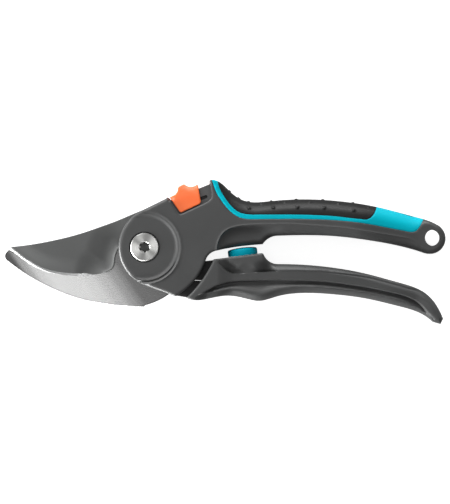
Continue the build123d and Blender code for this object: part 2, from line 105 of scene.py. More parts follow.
PAD_LINE = [
    (35.8, 34.6), (37.6, 28.6), (41.6, 22.2), (46.0, 17.9), (51.0, 16.3),
    (60.0, 16.15), (76.0, 16.15), (92.0, 15.55), (106.0, 14.05),
    (111.0, 13.9), (114.2, 16.6), (116.2, 21.5),
]
INLAY_LINE = [
    (33.0, 34.8), (35.6, 27.3), (39.9, 20.7), (44.5, 16.2), (50.0, 14.05), (60.0, 13.9),
    (76.0, 13.95), (92.0, 13.5), (108.0, 11.95), (126.0, 8.65), (133.4, 7.5), (136.6, 9.6),
    (139.4, 15.0),
]
UPPER_CREASE = [
    (35.6, -3.4), (36.3, 1.8), (38.6, 6.6), (43.0, 9.6), (52.0, 11.2), (70.0, 11.6), (84.0, 10.9),
    (98.0, 9.8), (110.0, 8.0), (120.0, 6.4), (130.0, 4.7), (135.0, 2.8), (139.5, -0.4),
    (143.0, -4.5),
]
STRIP_TOP = [
    (34.5, -5.5), (38.0, -9.2), (40.5, -11.6), (44.0, -13.3), (50.0, -13.2), (60.0, -12.5),
    (70.0, -12.2), (90.0, -12.9), (110.0, -15.4), (120.0, -17.8), (130.0, -20.6), (138.0, -23.8),
    (147.0, -36.0), (149.4, -41.0),
]
STRIP_BOTTOM = [
    (25.0, -25.0), (28.0, -23.0), (32.0, -20.7), (36.0, -18.7), (42.0, -17.0), (50.0, -16.2),
    (60.0, -15.9), (70.0, -15.9), (90.0, -16.7), (110.0, -19.4), (120.0, -21.4), (130.0, -24.0),
    (138.0, -28.4), (144.0, -36.8),
]
RIDGE = [
    (24.0, -24.4), (30.0, -23.0), (42.0, -21.2), (48.0, -21.8), (57.0, -23.8), (66.0, -21.2),
    (80.0, -19.7), (100.0, -21.4), (120.0, -25.2), (130.0, -27.8), (140.0, -33.2), (144.0, -37.0),
]
TONGUE = [
    (14.9, -24.1), (13.2, -20.4), (15.5, -16.1), (29.0, -16.9), (32.5, -17.0), (27.0, -24.0),
    (21.0, -25.1),
]
RAIL_CORNER = [(10.9, 22.4), (12.9, 23.3), (12.3, 24.3), (10.9, 24.9)]
NUB_R = 0.85
NUB_HEIGHT = 0.5
NUB_ROWS = {
    "front": [(51.9, 19.4), (63.9, 19.6), (75.9, 19.8), (89.2, 19.5), (103.8, 18.3)],
    "middle": [(58.1, 21.6), (69.7, 22.2), (82.3, 22.3), (96.5, 21.6), (111.5, 19.9)],
    "edge": [
        (42.3, 28.1), (46.9, 24.5), (52.0, 22.6), (63.1, 23.1), (75.8, 23.8), (89.0, 23.6),
        (103.9, 22.2),
    ],
}


# ---------------------------------------------------------------- plane curves


def curve(points, step=0.5):
    """A smooth line through the points, as an array of points about a step apart."""
    p = np.array(points, float)
    p = np.vstack([2 * p[0] - p[1], p, 2 * p[-1] - p[-2]])
    out = []
    for a, b, c, d in zip(p[:-3], p[1:-2], p[2:-1], p[3:]):
        n = max(2, int(np.linalg.norm(c - b) / step))
        t = np.linspace(0, 1, n, endpoint=False)[:, None]
        square = (2 * a - 5 * b + 4 * c - d) * t**2
        cube = (3 * b - a - 3 * c + d) * t**3
        out.append(0.5 * (2 * b + (c - a) * t + square + cube))
    return np.vstack(out + [p[-2:-1]])


def resample(loop, step):
    """Points along a closed loop, about a step apart, that keep its corners."""
    out = []
    for a, b in zip(loop, np.roll(loop, -1, axis=0)):
        n = max(1, int(round(np.linalg.norm(b - a) / step)))
        out.append(a + (b - a) * np.linspace(0, 1, n, endpoint=False)[:, None])
    points = np.vstack(out)
    keep = [points[0]]
    for p in points[1:]:
        if np.linalg.norm(p - keep[-1]) > 0.35 * step:
            keep.append(p)
    return np.array(keep)


def signed_area(loop):
    """Area of a closed loop, positive when it runs anticlockwise."""
    return 0.5 * (loop[:, 0] * np.roll(loop[:, 1], -1) - np.roll(loop[:, 0], -1) * loop[:, 1]).sum()


def inside(points, loop):
    """Which points lie inside a closed loop."""
    x, y = points[:, 0][:, None], points[:, 1][:, None]
    a, b = loop, np.roll(loop, -1, axis=0)
    crosses = (a[:, 1] > y) != (b[:, 1] > y)
    rise = np.where(np.abs(b[:, 1] - a[:, 1]) < 1e-12, 1e-12, b[:, 1] - a[:, 1])
    at = a[:, 0] + (y - a[:, 1]) * (b[:, 0] - a[:, 0]) / rise
    return (crosses & (x < at)).sum(axis=1) % 2 == 1


def distance(points, line, closed=False):
    """Distance from each point to a line of points."""
    a = line if closed else line[:-1]
    b = np.roll(line, -1, axis=0) if closed else line[1:]
    best = np.full(len(points), 1e9)
    ab = b - a
    length = (ab**2).sum(axis=1)
    for start in range(0, len(points), 2000):
        p = points[start : start + 2000][:, None, :]
        t = np.clip(((p - a) * ab).sum(axis=2) / np.maximum(length, 1e-12), 0, 1)
        gap = p - a - ab * t[..., None]
        best[start : start + 2000] = np.sqrt((gap**2).sum(axis=2)).min(axis=1)
    return best


def smooth(value, low, high):
    """0 below low, 1 above high and a smooth rise between."""
    t = np.clip((value - low) / (high - low), 0, 1)
    return t * t * (3 - 2 * t)


def rounding(d, r):
    """How far a rounded edge has dropped at a distance from the outline: 1 at the outline, 0 past r."""
    t = 1 - np.clip(d / r, 0, 1)
    return 1 - np.sqrt(np.maximum(1 - t * t, 0))


def section(names, level):
    """The outer outline of some CAD nodes, cut together at a level, in pivot millimetres."""
    points, edges = [], []
    for name in names:
        bm = bmesh.new()
        bm.from_mesh(NODES[name].data)
        geometry = bm.verts[:] + bm.edges[:] + bm.faces[:]
        co = (0, 0, PIVOT[2] + level * MM)
        cut = bmesh.ops.bisect_plane(bm, geom=geometry, plane_co=co, plane_no=(0, 0, 1))
        for e in cut["geom_cut"]:
            if isinstance(e, bmesh.types.BMEdge):
                first = len(points)
                points += [((np.array(v.co) - PIVOT) / MM)[:2] for v in e.verts]
                edges.append((first, first + 1))
        bm.free()
    return outer_loop([Vector(p) for p in points], edges)


def outer_loop(points, edges):
    """The longest boundary loop of the area that some edges close in."""
    verts, _, faces, *_ = delaunay_2d_cdt(points, edges, [], 1, 1e-3)
    after = {}
    used = set()
    for f in faces:
        for a, b in zip(f, f[1:] + f[:1]):
            used.add((a, b))
    for a, b in used:
        if (b, a) not in used:
            after.setdefault(a, []).append(b)
    loops = []
    while after:
        start = next(iter(after))
        loop = [start]
        while True:
            following = after.get(loop[-1])
            if not following:
                break
            nxt = following.pop()
            if not following:
                del after[loop[-1]]
            if nxt == start:
                break
            loop.append(nxt)
        loops.append(np.array([verts[i] for i in loop]))
    return max(loops, key=lambda l: np.abs(np.diff(l, axis=0)).sum())


# ---------------------------------------------------------------- solids from a plan and two surfaces


def mesh_object(name, vertices, faces, sharp=35.0):
    """A smooth-shaded mesh object, sharp where its faces meet at more than an angle in degrees."""
    mesh = bpy.data.meshes.new(name)
    mesh.from_pydata([tuple(v) for v in vertices], [], [tuple(f) for f in faces])
    mesh.validate()
    obj = bpy.data.objects.new(name, mesh)
    bpy.context.scene.collection.objects.link(obj)
    shade(obj, sharp)
    return obj


def shade(obj, sharp=35.0):
    """Smooth shading with sharp edges above an angle in degrees."""
    mesh = obj.data
    mesh.polygons.foreach_set("use_smooth", [True] * len(mesh.polygons))
    mesh.set_sharp_from_angle(angle=math.radians(sharp))


def fill_points(loop, step, ring_depths, lines=(), extra=()):
    """Points for a plan: its loop, rings just inside it, rows along lines, and a grid elsewhere."""
    rows = []
    tangent = np.roll(loop, -1, axis=0) - np.roll(loop, 1, axis=0)
    tangent /= np.linalg.norm(tangent, axis=1)[:, None] + 1e-12
    normal = np.column_stack([-tangent[:, 1], tangent[:, 0]])
    normal *= 1 if signed_area(loop) > 0 else -1
    taken = []
    for depth in ring_depths:
        ring = loop + normal * depth
        good = inside(ring, loop)
        gap = distance(ring, loop, closed=True)
        ring = ring[good & (gap > 0.93 * depth)]
        rows.append(ring)
    for line in lines:
        line = np.asarray(line)
        good = inside(line, loop) & (distance(line, loop, closed=True) > 0.12)
        rows.append(line[good])
        taken.append(line)
    for patch in extra:
        patch = np.asarray(patch)
        good = inside(patch, loop) & (distance(patch, loop, closed=True) > 0.1)
        rows.append(patch[good])
    low, high = loop.min(axis=0), loop.max(axis=0)
    xs = np.arange(low[0], high[0], step)
    ys = np.arange(low[1], high[1], step * 0.87)
    gx, gy = np.meshgrid(xs, ys)
    gx = gx + (np.arange(len(ys)) % 2)[:, None] * step / 2
    grid = np.column_stack([gx.ravel(), gy.ravel()])
    grid = grid[inside(grid, loop)]
    margin = (max(ring_depths) if ring_depths else 0) + 0.5 * step
    grid = grid[distance(grid, loop, closed=True) > margin]
    for row in rows:
        if len(row):
            grid = grid[nearest(grid, row) > 0.5 * step]
    return np.vstack([r for r in rows if len(r)] + [grid])


def nearest(points, others):
    """Distance from each point to the closest of some others."""
    tree = KDTree(len(others))
    for i, p in enumerate(others):
        tree.insert((p[0], p[1], 0), i)
    tree.balance()
    return np.array([tree.find((p[0], p[1], 0))[2] for p in points]) if len(points) else np.zeros(0)


def triangulate(loop, points, lines=()):
    """Triangles, anticlockwise, over the inside of a loop, with the loop and some lines as edges."""
    verts = [Vector(p) for p in loop]
    n = len(verts)
    edges = [(i, (i + 1) % n) for i in range(n)]
    for line in lines:
        first = len(verts)
        verts += [Vector(p) for p in line]
        edges += [(first + i, first + i + 1) for i in range(len(line) - 1)]
    verts += [Vector(p) for p in points]
    out, _, faces, *_ = delaunay_2d_cdt(verts, edges, [], 0, 1e-4)
    xy = np.array(out)
    faces = np.array([f for f in faces if len(f) == 3])
    a, b, c = xy[faces[:, 0]], xy[faces[:, 1]], xy[faces[:, 2]]
    area = (b[:, 0] - a[:, 0]) * (c[:, 1] - a[:, 1]) - (c[:, 0] - a[:, 0]) * (b[:, 1] - a[:, 1])
    faces[area < 0] = faces[area < 0][:, ::-1]
    centre = (a + b + c) / 3
    return xy, faces[(np.abs(area) > 1e-7) & inside(centre, loop)]


def solid(name, xy, faces, top, bottom, walls=3, sharp=35.0):
    """A closed mesh between two surfaces over a set of plan triangles."""
    used = np.unique(faces)
    index = np.full(len(xy), -1)
    index[used] = np.arange(len(used))
    xy, faces = xy[used], index[faces]
    zt, zb = top(xy), bottom(xy)
    n = len(xy)
    verts = [np.column_stack([xy, zt]), np.column_stack([xy, zb])]
    out = [tuple(f) for f in faces] + [tuple(f[::-1] + n) for f in faces]
    directed = {(f[i], f[(i + 1) % 3]) for f in faces for i in range(3)}
    rim = [(a, b) for a, b in directed if (b, a) not in directed]
    on_rim = sorted({a for a, b in rim} | {b for a, b in rim})
    column = {}
    extra = []
    for v in on_rim:
        stack = [v]
        for k in range(1, walls):
            z = zt[v] + (zb[v] - zt[v]) * k / walls
            stack.append(2 * n + len(extra))
            extra.append((xy[v][0], xy[v][1], z))
        column[v] = stack + [v + n]
    for a, b in rim:
        for k in range(walls):
            out.append((column[a][k], column[a][k + 1], column[b][k + 1], column[b][k]))
    verts = np.vstack(verts + ([np.array(extra)] if extra else []))
    return mesh_object(name, place(verts), out, sharp)


def prism(name, loop, low, high):
    """A plain upright cutter over a closed plan line."""
    loop = np.asarray(loop, float)
    if signed_area(loop) < 0:
        loop = loop[::-1]
    n = len(loop)
    bottom = np.column_stack([loop, np.full(n, low)])
    top = np.column_stack([loop, np.full(n, high)])
    faces = [tuple(range(n - 1, -1, -1)), tuple(range(n, 2 * n))]
    faces += [(i, (i + 1) % n, n + (i + 1) % n, n + i) for i in range(n)]
    return mesh_object(name, place(np.vstack([bottom, top])), faces)


def circle(radius, centre=(0, 0), count=96):
    """Points round a circle."""
    t = np.linspace(0, 2 * math.pi, count, endpoint=False)
    return np.column_stack([centre[0] + radius * np.cos(t), centre[1] + radius * np.sin(t)])


def carve(obj, cutter, operation="DIFFERENCE"):
    """Applies a boolean with a cutter, and removes the cutter."""
    mod = obj.modifiers.new("carve", "BOOLEAN")
    mod.operation = operation
    mod.object = cutter
    mod.solver = "EXACT"
    bpy.context.view_layer.update()
    graph = bpy.context.evaluated_depsgraph_get()
    mesh = bpy.data.meshes.new_from_object(obj.evaluated_get(graph))
    obj.modifiers.clear()
    obj.data = mesh
    bpy.data.objects.remove(cutter)
    mend(obj)
    shade(obj)
    return obj


def mend(obj):
    """Merges points that a boolean left a hair apart, and closes any pinhole."""
    bm = bmesh.new()
    bm.from_mesh(obj.data)
    bmesh.ops.remove_doubles(bm, verts=bm.verts, dist=2e-6)
    bmesh.ops.dissolve_degenerate(bm, edges=bm.edges, dist=1e-6)
    bmesh.ops.holes_fill(bm, edges=[e for e in bm.edges if e.is_boundary], sides=8)
    bm.to_mesh(obj.data)
    bm.free()


# ---------------------------------------------------------------- rail of the catch

RAIL_START = np.array([11.5, 22.9])
ALONG = np.array(RAIL_DIRECTION[:2])
ACROSS = np.array([-ALONG[1], ALONG[0]])


def on_rail(points):
    """Points given along and across the catch's rail, in the pivot plan."""
    points = np.asarray(points, float)
    return RAIL_START + points[:, :1] * ALONG + points[:, 1:2] * ACROSS


def rail_box(name, along, across, low, high):
    """A cutter that is a box lined up with the rail."""
    a0, a1 = along
    c0, c1 = across
    return prism(name, on_rail([(a0, c0), (a1, c0), (a1, c1), (a0, c1)]), low, high)


RECESS = np.vstack([
    [(11.0, 25.4), (16.8, 16.9)],
    curve([(16.8, 16.9), (17.9, 16.35), (19.2, 16.8)], 0.3)[1:],
    curve([(31.2, 22.4), (33.1, 24.3), (33.4, 27.0)], 0.3),
    [(32.4, 33.6), (32.0, 36.0), (8.0, 34.0)],
])


# ---------------------------------------------------------------- upper handle

UPPER_OUTLINE = resample(section(["upper_handle_core", "grip_inlay", "grip_pad"], 5.0), 0.45)
PAD_CURVE = curve(PAD_LINE)
INLAY_CURVE = curve(INLAY_LINE)
CREASE_CURVE = curve(UPPER_CREASE)
PAD_REGION = np.vstack([PAD_CURVE, [(116.2, 45.0), (35.8, 45.0)]])
INLAY_REGION = np.vstack([INLAY_CURVE, [(139.4, 45.0), (33.0, 45.0)]])
HOLLOW_REGION = np.vstack([CREASE_CURVE, [(143.0, -40.0), (35.6, -40.0)]])
RECESS_RIM = RECESS[:-2]
MIDLINE = np.array([
    (-30, -40), (20, 0), (30, 10), (50, 11), (66, 14), (100, 13), (125, 9), (140, 5), (155, 3),
])


def upper_surface(xy):
    """Height of the upper handle's face."""
    x, y = xy[:, 0], xy[:, 1]
    z = FACE - (FACE - TAIL_FACE) * smooth(x, TAIL_FROM, TAIL_TO)
    below = np.where(inside(xy, HOLLOW_REGION), distance(xy, CREASE_CURVE), 0.0)
    hollow = HOLLOW_DEPTH * (1 - np.exp(-below / HOLLOW_REACH))
    facet = FACET_SLOPE * below
    fade = 1 - smooth(x, 128, 141)
    z = z - (hollow + (facet - hollow) * smooth(x, 55, 70)) * fade
    d = distance(xy, UPPER_OUTLINE, closed=True)
    top_side = smooth(y - np.interp(x, MIDLINE[:, 0], MIDLINE[:, 1]), -1.5, 1.5)
    grip = smooth(x, 35, 43)
    tail = smooth(x, 132, 142)
    head = 1 - smooth(x, 8, 18)
    r = 1.0 + 0.6 * head + grip * (1.6 + 4.4 * top_side) * (1 - tail) + tail * 1.2
    drop = 1.0 + 0.5 * head + grip * (2.6 + 4.2 * top_side) * (1 - tail) + tail * 1.6
    z = z - drop * rounding(d, r)
    z = z - RECESS_RIM_DROP * np.clip(1 - distance(xy, RECESS_RIM) / 0.5, 0, 1)
    z = z + CREASE_RELIEF * np.exp(-((distance(xy, CREASE_CURVE) / 0.4) ** 2)) * fade
    return z + dish(x, y)


def dish(x, y):
    """Relief of the head about the pivot: a ring, a groove and a coved floor, softer towards the neck."""
    rho = np.hypot(x, y)
    neck = smooth(x + y, 0.0, 16.0)
    cove = FLOOR_COVE * (1 - smooth(rho, 15.0, 16.7))
    floor = cove + FLOOR_STEP * (1 - smooth(rho, 17.3 - 1.2 * neck, 17.9))
    ring = (0.3 - 0.22 * neck) * np.exp(-(((rho - HEAD_RING_R) / 0.4) ** 2))
    groove = (0.35 - 0.22 * neck) * np.exp(-(((rho - HEAD_GROOVE_R) / 0.3) ** 2))
    return ring - groove - floor


def parting(xy):
    """Depth of the fine groove along the lines where the handle's materials meet."""
    gap = np.minimum(distance(xy, PAD_CURVE), distance(xy, INLAY_CURVE))
    return 0.2 * np.clip(1 - gap / 0.3, 0, 1)


def left_of(line):
    """Unit vectors to the left of a line at each of its points."""
    tangent = np.gradient(line, axis=0)
    tangent /= np.linalg.norm(tangent, axis=1)[:, None]
    return np.column_stack([-tangent[:, 1], tangent[:, 0]])


def beside(line, offset):
    """The line moved to its left."""
    return line + offset * left_of(line)


def nub_patch(centre):
    """Plan points that give a nub a round shape."""
    rings = ((0.3, 8), (0.55, 12), (0.75, 16), (0.95, 18))
    return np.vstack([[centre]] + [circle(r, centre, n) for r, n in rings])


def raise_nubs(obj):
    """Pushes round nubs out of the pad's face, back and outer edge."""
    mesh = obj.data
    mesh.calc_loop_triangles()
    co = np.array([v.co for v in mesh.vertices])
    normals = np.array([v.normal for v in mesh.vertices])
    moved = co.copy()
    centres = []
    for row in ("front", "middle"):
        for c in NUB_ROWS[row]:
            z = float(upper_surface(np.array([c]))[0])
            centres += [(c[0], c[1], z), (c[0], c[1], -z)]
    for c in NUB_ROWS["edge"]:
        rim = UPPER_OUTLINE[np.argmin(((UPPER_OUTLINE - c) ** 2).sum(axis=1))]
        centres.append((rim[0], rim[1], 0.0))
    for centre in centres:
        gap = np.linalg.norm(co - place([centre])[0], axis=1) / MM
        lift = NUB_HEIGHT * np.sqrt(np.clip(1 - (gap / NUB_R) ** 2, 0, 1))
        moved += normals * (lift * MM)[:, None]
    mesh.vertices.foreach_set("co", moved.ravel())
    mesh.update()


def upper_handle():
    """Core, inlay, pad and back cover of the upper handle, and the end of its rail."""
    rows = []
    for line in (PAD_CURVE, INLAY_CURVE):
        rows += [beside(line, o) for o in (-0.3, 0.3)]
    for line in (CREASE_CURVE, resample(RECESS, 0.4)):
        rows += [beside(line, o) for o in (-0.6, -0.3, 0.0, 0.3, 0.6)]
    radii = (15.0, 15.5, 16.0, 16.6, 17.0, 17.3, 17.7, 18.0, 18.3, 18.7, 19.2)
    rings = [circle(r, count=int(r * 12)) for r in radii]
    nubs = [nub_patch(c) for row in ("front", "middle") for c in NUB_ROWS[row]]
    depths = (0.05, 0.2, 0.45, 0.8, 1.3, 2.0)
    points = fill_points(UPPER_OUTLINE, 0.65, depths, rows + rings, nubs)
    xy, faces = triangulate(UPPER_OUTLINE, points, (PAD_CURVE, INLAY_CURVE))
    centre = xy[faces].mean(axis=1)
    in_pad = inside(centre, PAD_REGION)
    in_inlay = inside(centre, INLAY_REGION) & ~in_pad

    def top(p):
        return upper_surface(p) - parting(p)

    def bottom(p):
        return -top(p)

    core = solid("handle_core", xy, faces[~in_pad & ~in_inlay], top, bottom, 5)
    inlay = solid("handle_inlay", xy, faces[in_inlay], top, bottom, 5)
    pad = solid("handle_pad", xy, faces[in_pad], top, bottom, 9)
    raise_nubs(pad)
    shade(pad, 50)
    for side in (1, -1):
        carve(core, recess_cutter(side))
    carve(core, prism("cut", circle(HANG_R, HANG_XY), -PAST, PAST))
    carve(core, prism("cut", circle(BOLT_HOLE_R), 7.1, PAST))
    pin_slot = slot_loop((13.9, -5.1), 4.5, 0.8)
    carve(core, prism("cut", pin_slot, SLOT_HIGH, PAST))
    carve(core, prism("cut", pin_slot, -PAST, SLOT_LOW))
    cover = core.copy()
    cover.data = core.data.copy()
    cover.name = "head_cover"
    bpy.context.scene.collection.objects.link(cover)
    carve(cover, prism("cut", circle(COVER_R - 0.12), -PAST, COVER_LEVEL - 0.05), "INTERSECT")
    carve(core, prism("cut", circle(COVER_R), -PAST, COVER_LEVEL))
    for cutter in slot_cutters():
        carve(core, cutter)
    turns = [math.radians(a) for a in range(0, 360, 60)]
    nut = [(7.7 * math.cos(a), 7.7 * math.sin(a)) for a in turns]
    carve(cover, prism("cut", nut, -PAST, -5.9))
    for at in cover_screw_places():
        carve(cover, prism("cut", circle(2.8, at, 40), -PAST, -7.4))
    corner = resample(np.array(RAIL_CORNER), 0.4)
    xy, faces = triangulate(corner, fill_points(corner, 0.5, ()))

    def level(z):
        return lambda p: np.full(len(p), z)

    stop = solid("rail_end", xy, faces, level(6.5), level(-6.5), 1)
    return core, inlay, pad, cover, stop


def recess_cutter(side):
    """The space beside the rail where the saddle's cheek slides: its floor falls towards the rail."""
    loop = resample(RECESS, 1.0)
    xy, faces = triangulate(loop, fill_points(loop, 2.0, ()))

    def floor(p):
        up = (p - RAIL_START) @ ACROSS
        return FACE - RECESS_DEPTH - 0.15 * np.clip(up + 7.0, 0, 12.0)

    def outside(p):
        return np.full(len(p), PAST)

    if side > 0:
        return solid("cut", xy, faces, outside, floor, 1)
    return solid("cut", xy, faces, lambda p: -floor(p), lambda p: -outside(p), 1)


def cover_screw_places():
    """Where the two cover screws are, from their own solids."""
    co = (np.array([v.co for v in NODES["cover_screws"].data.vertices]) - PIVOT) / MM
    split = co[:, 1].mean()
    places = []
    for part in (co[co[:, 1] > split], co[co[:, 1] <= split]):
        places.append(tuple((part.min(axis=0) + part.max(axis=0))[:2] / 2))
    return places


def slot_loop(start, length, radius):
    """A slot with round ends that runs along the rail."""
    t = np.linspace(-math.pi / 2, math.pi / 2, 12)
    right = np.column_stack([start[0] + length + radius * np.cos(t), start[1] + radius * np.sin(t)])
    left = np.column_stack([start[0] - radius * np.cos(t), start[1] - radius * np.sin(t)])
    return on_rail(np.vstack([right, left]))


def slot_cutters():
    """The space between the cheeks where the blade's hub and tang turn."""
    below_tang = [(-10.0, 0.0), (17.0, -7.6), (31.0, -6.1), (40.0, -4.0), (40.0, -45.0), (-30.0, -45.0)]
    left_mouth = [(0.0, 0.0), (-30.0, -8.0), (-30.0, 40.0), (0.0, 40.0)]
    yield prism("cut", circle(HUB_SWEEP_R), SLOT_LOW, SLOT_HIGH)
    yield prism("cut", below_tang, SLOT_LOW - 0.002, SLOT_HIGH + 0.002)
    yield prism("cut", left_mouth, SLOT_LOW - 0.004, SLOT_HIGH + 0.004)


# ---------------------------------------------------------------- lower handle

LOWER_OUTLINE = resample(section(["lower_handle"], 6.0), 0.45)
TOP_CURVE = curve(STRIP_TOP)
BOTTOM_CURVE = curve(STRIP_BOTTOM)
RIDGE_CURVE = curve(RIDGE)
ABOVE_STRIP = np.vstack([TOP_CURVE, [(175.0, -41.0), (175.0, 30.0), (34.5, 30.0)]])
BELOW_STRIP = np.vstack([BOTTOM_CURVE, [(144.0, -60.0), (10.0, -60.0), (10.0, -25.0)]])


def lower_surface(xy):
    """Height of the lower handle's face: a sunk flat strip between a top bead and a valley with a ridge."""
    x, y = xy[:, 0], xy[:, 1]
    sunk = STRIP_DEPTH * smooth(x, 36, 44) * (1 - smooth(x, 134, 144))
    z = FACE - 0.1 - 1.2 * smooth(x, 120, 146) - sunk
    above = np.where(inside(xy, ABOVE_STRIP), distance(xy, TOP_CURVE), 0.0)
    ends = np.exp(-(((x - 42.0) / 4.6) ** 2)) + np.exp(-(((x - 60.5) / 3.6) ** 2))
    middle = np.exp(-(((x - 50.5) / 5.0) ** 2))
    z += sunk * smooth(above, 0.0, 1.3 + 5.0 * middle)
    lift = np.where(above > 0, y - np.interp(x, TOP_CURVE[:, 0], TOP_CURVE[:, 1]), 0.0)
    z -= BOSS_SCOOP * ends * smooth(lift, 0.0, 0.25) * (1 - smooth(lift, 0.25, 7.5))
    z -= 0.55 * above * smooth(x, 134, 141) * (1 - smooth(x, 141, 146))
    below = np.where(inside(xy, BELOW_STRIP), distance(xy, BOTTOM_CURVE), 0.0)
    to_ridge = distance(xy, RIDGE_CURVE)
    share = below / np.maximum(below + to_ridge, 1e-6)
    valley = VALLEY_DEPTH * smooth(below, 0.0, 1.1)
    rise = RIDGE_RISE * smooth(share, 0.3, 1.0)
    z -= np.where(below > 0, valley - rise, 0.0) * smooth(x, 24, 31)
    d = distance(xy, LOWER_OUTLINE, closed=True)
    grip = np.where(above > 0, smooth(x, 57, 66), smooth(x, 34, 44))
    tip = smooth(x, 138, 146)
    r = 1.0 + grip * 2.6 * (1 - 0.5 * tip)
    drop = 1.1 + grip * 4.4 * (1 - 0.4 * tip)
    back = BACK_SLOPE_DROP * np.clip(1 - d / BACK_SLOPE_WIDTH, 0, 1) ** 1.6
    slanted = np.where(above > 0, smooth(x, 60, 68) * (1 - tip), 0.0)
    return z - drop * rounding(d, r) * (1 - slanted) - back * slanted


def lower_handle():
    """The lower handle, one dark moulding, and its tongue beside the tang inside the head, coloured near-black as
    painted shade.
    """
    rows = []
    for line in (TOP_CURVE, BOTTOM_CURVE):
        rows += [beside(line, o) for o in (-1.0, -0.6, -0.3, -0.1, 0.1, 0.3, 0.6, 1.0)]
    points = fill_points(LOWER_OUTLINE, 0.6, (0.05, 0.2, 0.45, 0.8, 1.3, 2.0), rows)
    xy, faces = triangulate(LOWER_OUTLINE, points)

    def bottom(p):
        return -lower_surface(p)

    body = solid("lower_handle_body", xy, faces, lower_surface, bottom, 5)
    loop = resample(np.array(TONGUE), 0.6)
    xy, faces = triangulate(loop, fill_points(loop, 1.2, (0.15, 0.3)))

    def tongue_top(p):
        return 3.0 - 0.3 * rounding(distance(p, loop, closed=True), 0.35)

    tongue = solid("tongue", xy, faces, tongue_top, lambda p: np.full(len(p), 0.25), 1)
    return body, tongue


# ---------------------------------------------------------------- blades

CUTTING_EDGE = curve([
    (-67.2, -1.1), (-60.0, -6.7), (-52.0, -11.2), (-44.0, -13.4), (-34.0, -14.25), (-26.0, -13.8),
    (-19.5, -12.5), (-16.4, -10.6), (-15.2, -7.5), (-14.6, -3.5), (-13.2, -0.6),
])
BEVEL_WIDTH = 0.5


def bevel_width(x):
    """Width of the bare bevel along the blade."""
    return BEVEL_WIDTH * (1 - smooth(x, -58, -40))


def bevel_line():
    """Inner border of the bare bevel, which runs out before the middle of the edge."""
    front = CUTTING_EDGE[CUTTING_EDGE[:, 0] < -40.5]
    return front + bevel_width(front[:, 0])[:, None] * left_of(front)


def cutting_blade():
    """Coated blade: hollow-ground face that thins towards the edge, and a bare narrow edge bevel."""
    low, high = node_mm("cutting_blade")
    loop = resample(section(["cutting_blade"], (low[2] + high[2]) / 2), 0.5)
    rows = [beside(CUTTING_EDGE, o) for o in (0.25, 0.5, 0.8, 1.2, 1.8, 2.6, 3.4)]
    bevel_inside = bevel_line()[2:]
    points = fill_points(loop, 0.9, (0.3,), rows)
    points = points[distance(points, bevel_inside) > 0.15]
    xy, faces = triangulate(loop, points, (bevel_inside,))

    heel = CUTTING_EDGE[CUTTING_EDGE[:, 0] > -20.0]

    def top(p):
        edge = distance(p, CUTTING_EDGE)
        lip = distance(p, heel)
        curl = (1 - np.exp(-lip / 1.1)) * (1 - smooth(lip, 3.4, 16.0))
        ground = (1 - smooth(edge, 0.6, 9.0)) * smooth(lip, 1.0, 12.0)
        face = high[2] - GRIND_DEPTH * ground - HEEL_CURL * curl
        bevel = low[2] + 0.4 + 0.8 * np.minimum(edge, 0.75) + 2.5 * np.maximum(edge - 0.75, 0)
        bevel += 3.0 * smooth(p[:, 0], -32, -16)
        rim = 0.3 * rounding(distance(p, loop, closed=True), 0.4)
        blunt = np.maximum(smooth(edge, 0.8, 1.2), smooth(p[:, 0], -24, -17))
        return np.minimum(face, bevel) - rim * blunt

    blade = solid("blade_body", xy, faces, top, lambda p: np.full(len(p), low[2]), 1, 30)
    carve(blade, prism("cut", circle(5.55), -1, 5))
    return blade


def finish_blade(blade):
    """Bares the narrow bevel along the front of the edge, near-white in part as a painted highlight, and paints
    the tang near-black as painted shade.
    """
    blade.data.materials.append(BARE_EDGE_AND_HIGHLIGHT)
    blade.data.materials.append(PAINTED_SHADE_BLACK)
    centres = np.array([p.center for p in blade.data.polygons])
    flat = ((centres - PIVOT) / MM)[:, :2]
    bare = distance(flat, CUTTING_EDGE) < bevel_width(flat[:, 0])
    # The tang is coloured near-black as painted shade.
    tang = flat[:, 0] > 12.0
    blade.data.polygons.foreach_set("material_index", np.where(tang, 2, bare).astype(int))


def counter_blade():
    """Bright hook: flat ground face with eased outer edges."""
    low, high = node_mm("counter_blade")
    loop = resample(section(["counter_blade"], (low[2] + high[2]) / 2), 0.5)
    points = fill_points(loop, 1.2, (0.15, 0.35, 0.6))
    xy, faces = triangulate(loop, points)

    def top(p):
        return high[2] - 0.2 * rounding(distance(p, loop, closed=True), 0.3)

    def bottom(p):
        return low[2] + 0.35 * rounding(distance(p, loop, closed=True), 0.5)

    blade = solid("hook_body", xy, faces, top, bottom, 1, 30)
    carve(blade, prism("cut", circle(4.03), -6, 2))
    return blade


# ---------------------------------------------------------------- catch and bumper


def catch_saddle():
    """Orange thumb saddle with a dished top and eased rims."""
    low, high = node_mm("catch_saddle")
    loop = resample(section(["catch_saddle"], high[2] - 0.6), 0.3)
    points = fill_points(loop, 0.45, (0.06, 0.2, 0.4, 0.7, 1.0))
    xy, faces = triangulate(loop, points)
    thumb = np.array([22.9, 33.2])

    def top(p):
        d = distance(p, loop, closed=True)
        local = p - RAIL_START
        up = local @ ACROSS
        along = local @ ALONG
        hollow = THUMB_DISH * np.exp(-(((np.hypot(*(p - thumb).T)) / THUMB_DISH_R) ** 2))
        left = 1.6 * (1 - smooth(along, 2.0, 5.5)) * smooth(up, -1.5, 2.5)
        crown = 0.022 * np.maximum(up + 3.0, 0) ** 2
        return high[2] + 0.3 - 0.4 * rounding(d, 0.45) - hollow - left - crown

    saddle = solid("saddle", xy, faces, top, lambda p: -top(p), 5)
    carve(saddle, rail_box("cut", (-30, 40), (-30, 0.15), -7.95, 7.95))
    return saddle


